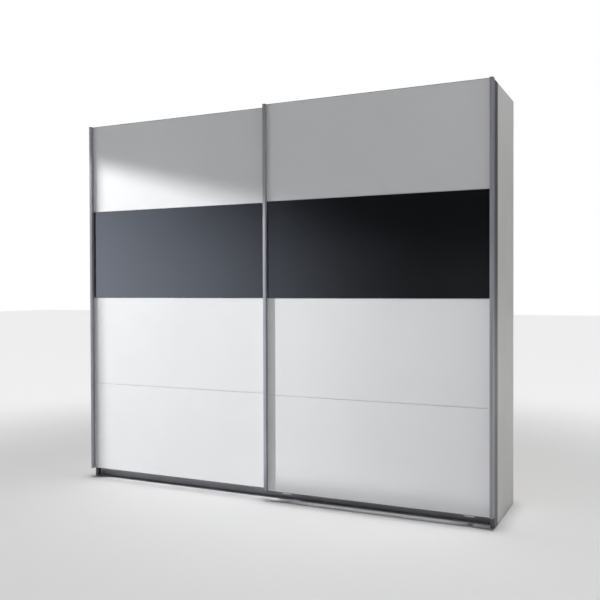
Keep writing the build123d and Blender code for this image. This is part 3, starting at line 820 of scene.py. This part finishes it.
# ---------------------------------------------------------------- sub-assemblies
@dataclass
class Carcass:
    """The fixed cabinet, its rails and fittings."""

    wardrobe: Wardrobe
    body: str = "carcass"

    def build(self) -> None:
        """Dress every fixed piece."""
        self.wardrobe.dress(list(frame["record"]["behaviour"]["bodies"][self.body]))


@dataclass
class Door:
    """One sliding door with its rollers and its dust brushes.

    Attributes:
        brush_edges: the handle profiles that carry a brush, left or right.
        tuft_rings: each ring of a tuft, as a share of its reach and a share of its width.
        shortest: the shortest tuft's share of the pile.
    """

    wardrobe: Wardrobe
    side: str
    brush_edges: tuple[str, ...]
    brush_width: float = 6.0 * MILLIMETRE
    backing: float = 1.2 * MILLIMETRE
    foot_clearance: float = 6.0 * MILLIMETRE
    pile: float = 4.2 * MILLIMETRE
    shortest: float = 0.86
    tuft_pitch: float = 4.0 * MILLIMETRE
    tuft_row: float = 1.6 * MILLIMETRE
    tuft_width: float = 1.6 * MILLIMETRE
    tuft_lean: float = 0.7 * MILLIMETRE
    tuft_rings: tuple[tuple[float, float], ...] = ((-0.05, 1.0), (0.55, 1.15), (1.0, 0.55))
    dice: random.Random = field(default_factory=lambda: random.Random(7))

    @property
    def body(self) -> str:
        """Name of the body that slides."""
        return f"{self.side}_door"

    def build(self) -> None:
        """Dress the door and its rollers, then add its brushes."""
        bodies = frame["record"]["behaviour"]["bodies"]
        for body in (self.body, f"{self.side}_roller_a", f"{self.side}_roller_b"):
            self.wardrobe.dress(list(bodies[body]))
        for edge in self.brush_edges:
            self.brush(edge)

    def brush(self, edge: str) -> None:
        """Glue a strip of pile to the back of one handle profile.

        Args:
            edge: which profile, left or right.
        """
        low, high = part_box(f"{self.body}_{edge}_profile")
        centre = (low.x + high.x) / 2
        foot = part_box(f"{self.side}_bottom_panel")[1].z + self.foot_clearance
        mesh = bmesh.new()
        self.strip(mesh, centre, high.y, foot, high.z)
        row = foot + self.tuft_pitch
        while row < high.z - self.tuft_pitch:
            for offset in (-self.tuft_row, 0.0, self.tuft_row):
                self.tuft(mesh, centre + offset, high.y + self.backing, row)
            row += self.tuft_pitch
        name = f"{self.body}_{edge}_dust_brush"
        shape = bpy.data.meshes.new(name)
        mesh.to_mesh(shape)
        mesh.free()
        piece = bpy.data.objects.new(name, shape)
        bpy.context.scene.collection.objects.link(piece)
        piece.data.materials.append(self.wardrobe.material(BRUSH_FINISH))
        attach(piece, self.body)
        LOG.info("built %s", name)

    def strip(self, mesh: bmesh.types.BMesh, x: float, y: float, low: float, high: float) -> None:
        """Add the brush's backing, with the corners under the pile cut off.

        Args:
            mesh: the mesh to add to.
            x: middle of the strip.
            y: the plane that it is glued to.
            low: its lower end.
            high: its upper end.
        """
        half = self.brush_width / 2
        lip = self.backing / 3
        outline = [
            (x - half, y),
            (x + half, y),
            (x + half, y + self.backing - lip),
            (x + half - lip, y + self.backing),
            (x - half + lip, y + self.backing),
            (x - half, y + self.backing - lip),
        ]
        self.prism(mesh, outline, low, high)

    def prism(
        self,
        mesh: bmesh.types.BMesh,
        outline: list[tuple[float, float]],
        low: float,
        high: float,
    ) -> None:
        """Add an upright prism.

        Args:
            mesh: the mesh to add to.
            outline: its plan, anticlockwise from above.
            low: its lower end.
            high: its upper end.
        """
        ends = [[mesh.verts.new((x, y, z)) for x, y in outline] for z in (low, high)]
        count = len(outline)
        mesh.faces.new(reversed(ends[0]))
        mesh.faces.new(ends[1])
        for index in range(count):
            after = (index + 1) % count
            mesh.faces.new((ends[0][index], ends[0][after], ends[1][after], ends[1][index]))

    def tuft(self, mesh: bmesh.types.BMesh, x: float, y: float, z: float) -> None:
        """Add one leaning, tapered tuft of pile.

        Args:
            mesh: the mesh to add to.
            x: where it stands across the strip.
            y: where it stands in depth.
            z: its level.
        """
        lean = [self.dice.uniform(-self.tuft_lean, self.tuft_lean) for _ in range(2)]
        reach = self.pile * self.dice.uniform(self.shortest, 1.0)
        rings = []
        for share, width in self.tuft_rings:
            half = self.tuft_width * width / 2
            middle = Vector((x + lean[0] * share, y + reach * share, z + lean[1] * share))
            corners = [middle + Vector((a * half, 0.0, b * half)) for a, b in SQUARE]
            rings.append([mesh.verts.new(corner) for corner in corners])
        for first, second in zip(rings, rings[1:]):
            for index in range(len(SQUARE)):
                after = (index + 1) % len(SQUARE)
                mesh.faces.new((first[index], second[index], second[after], first[after]))
        mesh.faces.new(rings[0])
        mesh.faces.new(reversed(rings[-1]))


# ---------------------------------------------------------------- studio
@dataclass
class KeyLight:
    """A small lamp at the far left whose beam is kept on the door fronts.

    Attributes:
        skirt: how far behind the fronts, and above the floor, the lower flap's edge is aimed.
        spill: how far past each side of the fronts the side flaps let the beam go.
        top_fall: how steeply the beam's upper edge falls.
        far_share: what is left of the beam at its right-hand edge.
    """

    place: Vector = field(default_factory=lambda: Vector((-2.89, -1.36, 2.50)))
    power: float = 60.0
    source_radius: float = 0.03
    skirt: tuple[float, float] = (0.04, 0.035)
    skirt_softness: float = 0.003
    spill: float = 0.06
    top_fall: float = math.sin(math.radians(16.8))
    top_softness: float = 0.032
    side_softness: float = 0.012
    far_share: float = 0.6
    far_softness: float = 0.09
    tone: Colour = (0.985, 0.992, 1.0)

    def build(self) -> None:
        """Hang the lamp and shape its beam."""
        low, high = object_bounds()
        light = bpy.data.lights.new("key_light", "POINT")
        light.energy = self.power
        light.shadow_soft_size = self.source_radius
        light.color = self.tone
        holder = bpy.data.objects.new("key_light", light)
        holder.location = self.place
        bpy.context.scene.collection.objects.link(holder)
        light.use_nodes = True
        graph = Graph(light.node_tree)
        way = graph.add("ShaderNodeTexCoord", output="Normal")
        fall = graph.add("ShaderNodeSeparateXYZ", None, {0: way}, 2)
        lowest = -self.top_fall - self.top_softness
        beam = fall.between(lowest, -self.top_fall + self.top_softness, FALLING)
        front = Vector((0.0, low[1] + self.skirt[0], low[2] + self.skirt[1])) - self.place
        left = Vector((low[0] - self.spill, low[1], 0.0)) - self.place
        right = Vector((high[0] + self.spill, low[1], 0.0)) - self.place
        # Each flap is a plane through the lamp; the beam is on the side that its normal points to.
        flaps = (
            (Vector((0.0, -front.z, front.y)), self.skirt_softness),
            (Vector((left.y, -left.x, 0.0)), self.side_softness),
            (Vector((-right.y, right.x, 0.0)), self.side_softness),
        )
        for flap, softness in flaps:
            sockets = {0: way, 1: tuple(flap.normalized())}
            over = graph.add("ShaderNodeVectorMath", {"operation": "DOT_PRODUCT"}, sockets, "Value")
            beam = beam * over.between(0.0, softness)
        beam = beam * over.between(0.0, self.far_softness, (self.far_share, 1.0))
        even = graph.add("ShaderNodeLightFalloff", None, {"Strength": 1.0}, "Constant")
        shine = graph.add("ShaderNodeEmission", None, {"Color": WHITE, "Strength": even * beam})
        graph.add("ShaderNodeOutputLight", None, {"Surface": shine})


@dataclass
class Surroundings:
    """White backdrop whose light on the object is dim at eye level and brighter at the left.

    Attributes:
        eye_level: the dim light's strength at the horizon.
        overhead: how much stronger it is straight above.
        horizon: what is added right at the horizon, up to horizon_height.
        glow: the strength of the glow at its middle, in the direction of glow_way.
        glow_edge: the glow's edge, as the cosine of its angle from the middle.
        glow_lean: how far that edge draws in up to lean_height.
        glow_power: how fast the glow fades towards its edge.
        warm: the dim light's colour.
        cool: the glow's colour.
    """

    eye_level: float = 0.012
    overhead: float = 0.05
    horizon: float = 0.04
    horizon_height: float = 0.1
    glow: float = 1.4
    glow_way: Triple = (-0.90, -0.43, -0.06)
    glow_edge: float = 0.62
    glow_lean: float = 0.2
    lean_height: float = 0.3
    glow_power: float = 1.8
    warm: Colour = (1.0, 0.99, 0.965)
    cool: Colour = (0.93, 0.97, 1.1)

    def build(self) -> None:
        """Make the world."""
        world = bpy.data.worlds.new("studio")
        bpy.context.scene.world = world
        world.use_nodes = True
        graph = Graph(world.node_tree)
        way = graph.add("ShaderNodeTexCoord", output="Generated")
        height = graph.add("ShaderNodeSeparateXYZ", None, {0: way}, 2)
        sockets = {0: way, 1: tuple(Vector(self.glow_way).normalized())}
        facing = graph.add("ShaderNodeVectorMath", {"operation": "DOT_PRODUCT"}, sockets, "Value")
        lean = (self.glow_edge, self.glow_edge + self.glow_lean)
        edge = height.between(0.0, self.lean_height, lean)
        glow = facing.between(edge, 1.0) ** self.glow_power * self.glow
        low_sky = height.between(0.0, self.horizon_height, (self.horizon, 0.0))
        room = height * self.overhead + self.eye_level + low_sky
        seen = graph.add("ShaderNodeLightPath", output="Is Camera Ray")
        warm = graph.add("ShaderNodeBackground", None, {"Color": self.warm, "Strength": room})
        cool = graph.add("ShaderNodeBackground", None, {"Color": self.cool, "Strength": glow})
        light = graph.add("ShaderNodeAddShader", None, {0: warm, 1: cool})
        white = graph.add("ShaderNodeBackground", None, {"Color": WHITE, "Strength": 1.0})
        shown = graph.add("ShaderNodeMixShader", None, {0: seen, 1: light, 2: white})
        graph.add("ShaderNodeOutputWorld", None, {"Surface": shown})


@dataclass
class Studio:
    """Floor, lights and the camera.

    Attributes:
        stand: where the camera stands; turn, dip and roll are in degrees, lens and sensor in
            millimetres.
        sun_height: how far above the object the floor's light hangs.
        sun_angle: how wide it looks, in degrees.
        side_place: where the side light hangs, from the object's right, front and top.
        side_aim: the level that it is aimed at, as a share of the object's height.
        side_size: the width of the side light.
    """

    floor_half: float = 30.0
    floor_cells: int = 12
    stand: Vector = field(default_factory=lambda: Vector((1.9321, -3.8705, 1.1243)))
    turn: float = 25.451
    dip: float = 0.795
    roll: float = -0.179
    lens: float = 46.5
    sensor: float = 36.0
    floor_light: float = 2.1
    sun_height: float = 3.0
    sun_angle: float = 5.0
    side_power: float = 12.0
    side_place: Triple = (1.5, 0.1, 1.3)
    side_aim: float = 0.55
    side_size: float = 1.4

    def build(self, wardrobe: Wardrobe) -> None:
        """Set out the floor, the lights, the surroundings and the camera.

        Args:
            wardrobe: where the floor's finish is kept.
        """
        self.floor(wardrobe)
        KeyLight().build()
        Surroundings().build()
        low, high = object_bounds()
        above = Vector((0.0, 0.0, high[2] + self.sun_height))
        sun = self.lamp("floor_light", "SUN", above, Vector((0.0, 0.0, 0.0)), self.floor_light)
        sun.angle = math.radians(self.sun_angle)
        place = Vector((high[0], low[1], high[2])) + Vector(self.side_place)
        aim = Vector((high[0], 0.0, high[2] * self.side_aim))
        self.lamp("side_box", "AREA", place, aim, self.side_power).size = self.side_size
        self.camera()
        bpy.context.scene.view_settings.view_transform = "Standard"

    def floor(self, wardrobe: Wardrobe) -> None:
        """Lay the floor.

        Args:
            wardrobe: where its finish is kept.
        """
        mesh = bmesh.new()
        cells = self.floor_cells
        bmesh.ops.create_grid(mesh, x_segments=cells, y_segments=cells, size=self.floor_half)
        shape = bpy.data.meshes.new("studio_floor")
        mesh.to_mesh(shape)
        mesh.free()
        floor = bpy.data.objects.new("studio_floor", shape)
        floor.data.materials.append(wardrobe.material(StudioFloor("studio paper")))
        bpy.context.scene.collection.objects.link(floor)
        floor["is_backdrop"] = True

    def lamp(
        self,
        name: str,
        kind: str,
        place: Vector,
        aim: Vector,
        power: float,
    ) -> bpy.types.Light:
        """Hang a lamp.

        Args:
            name: its name.
            kind: its type.
            place: where it hangs.
            aim: the point that it looks at.
            power: its power.

        Returns:
            The lamp's data.
        """
        light = bpy.data.lights.new(name, kind)
        light.energy = power
        holder = bpy.data.objects.new(name, light)
        bpy.context.scene.collection.objects.link(holder)
        holder.location = place
        holder.rotation_euler = (aim - place).to_track_quat("-Z", "Y").to_euler()
        return light

    def camera(self) -> None:
        """Place the camera and make it the scene's own."""
        data = bpy.data.cameras.new("camera")
        data.lens = self.lens
        data.sensor_width = self.sensor
        holder = bpy.data.objects.new("camera", data)
        bpy.context.scene.collection.objects.link(holder)
        turn = Matrix.Rotation(math.radians(self.turn), 4, "Z")
        dip = Matrix.Rotation(math.radians(90.0 - self.dip), 4, "X")
        roll = Matrix.Rotation(math.radians(self.roll), 4, "Z")
        holder.matrix_world = Matrix.Translation(self.stand) @ turn @ dip @ roll
        bpy.context.scene.camera = holder


def main() -> None:
    """Build the wardrobe's looks, then the studio."""
    logging.basicConfig(level=logging.INFO, format="%(name)s: %(message)s")
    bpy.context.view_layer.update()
    wardrobe = Wardrobe()
    Carcass(wardrobe).build()
    Door(wardrobe, "left", ("left",)).build()
    Door(wardrobe, "right", ("left",)).build()
    Studio().build(wardrobe)


if __name__ == "__main__":
    main()
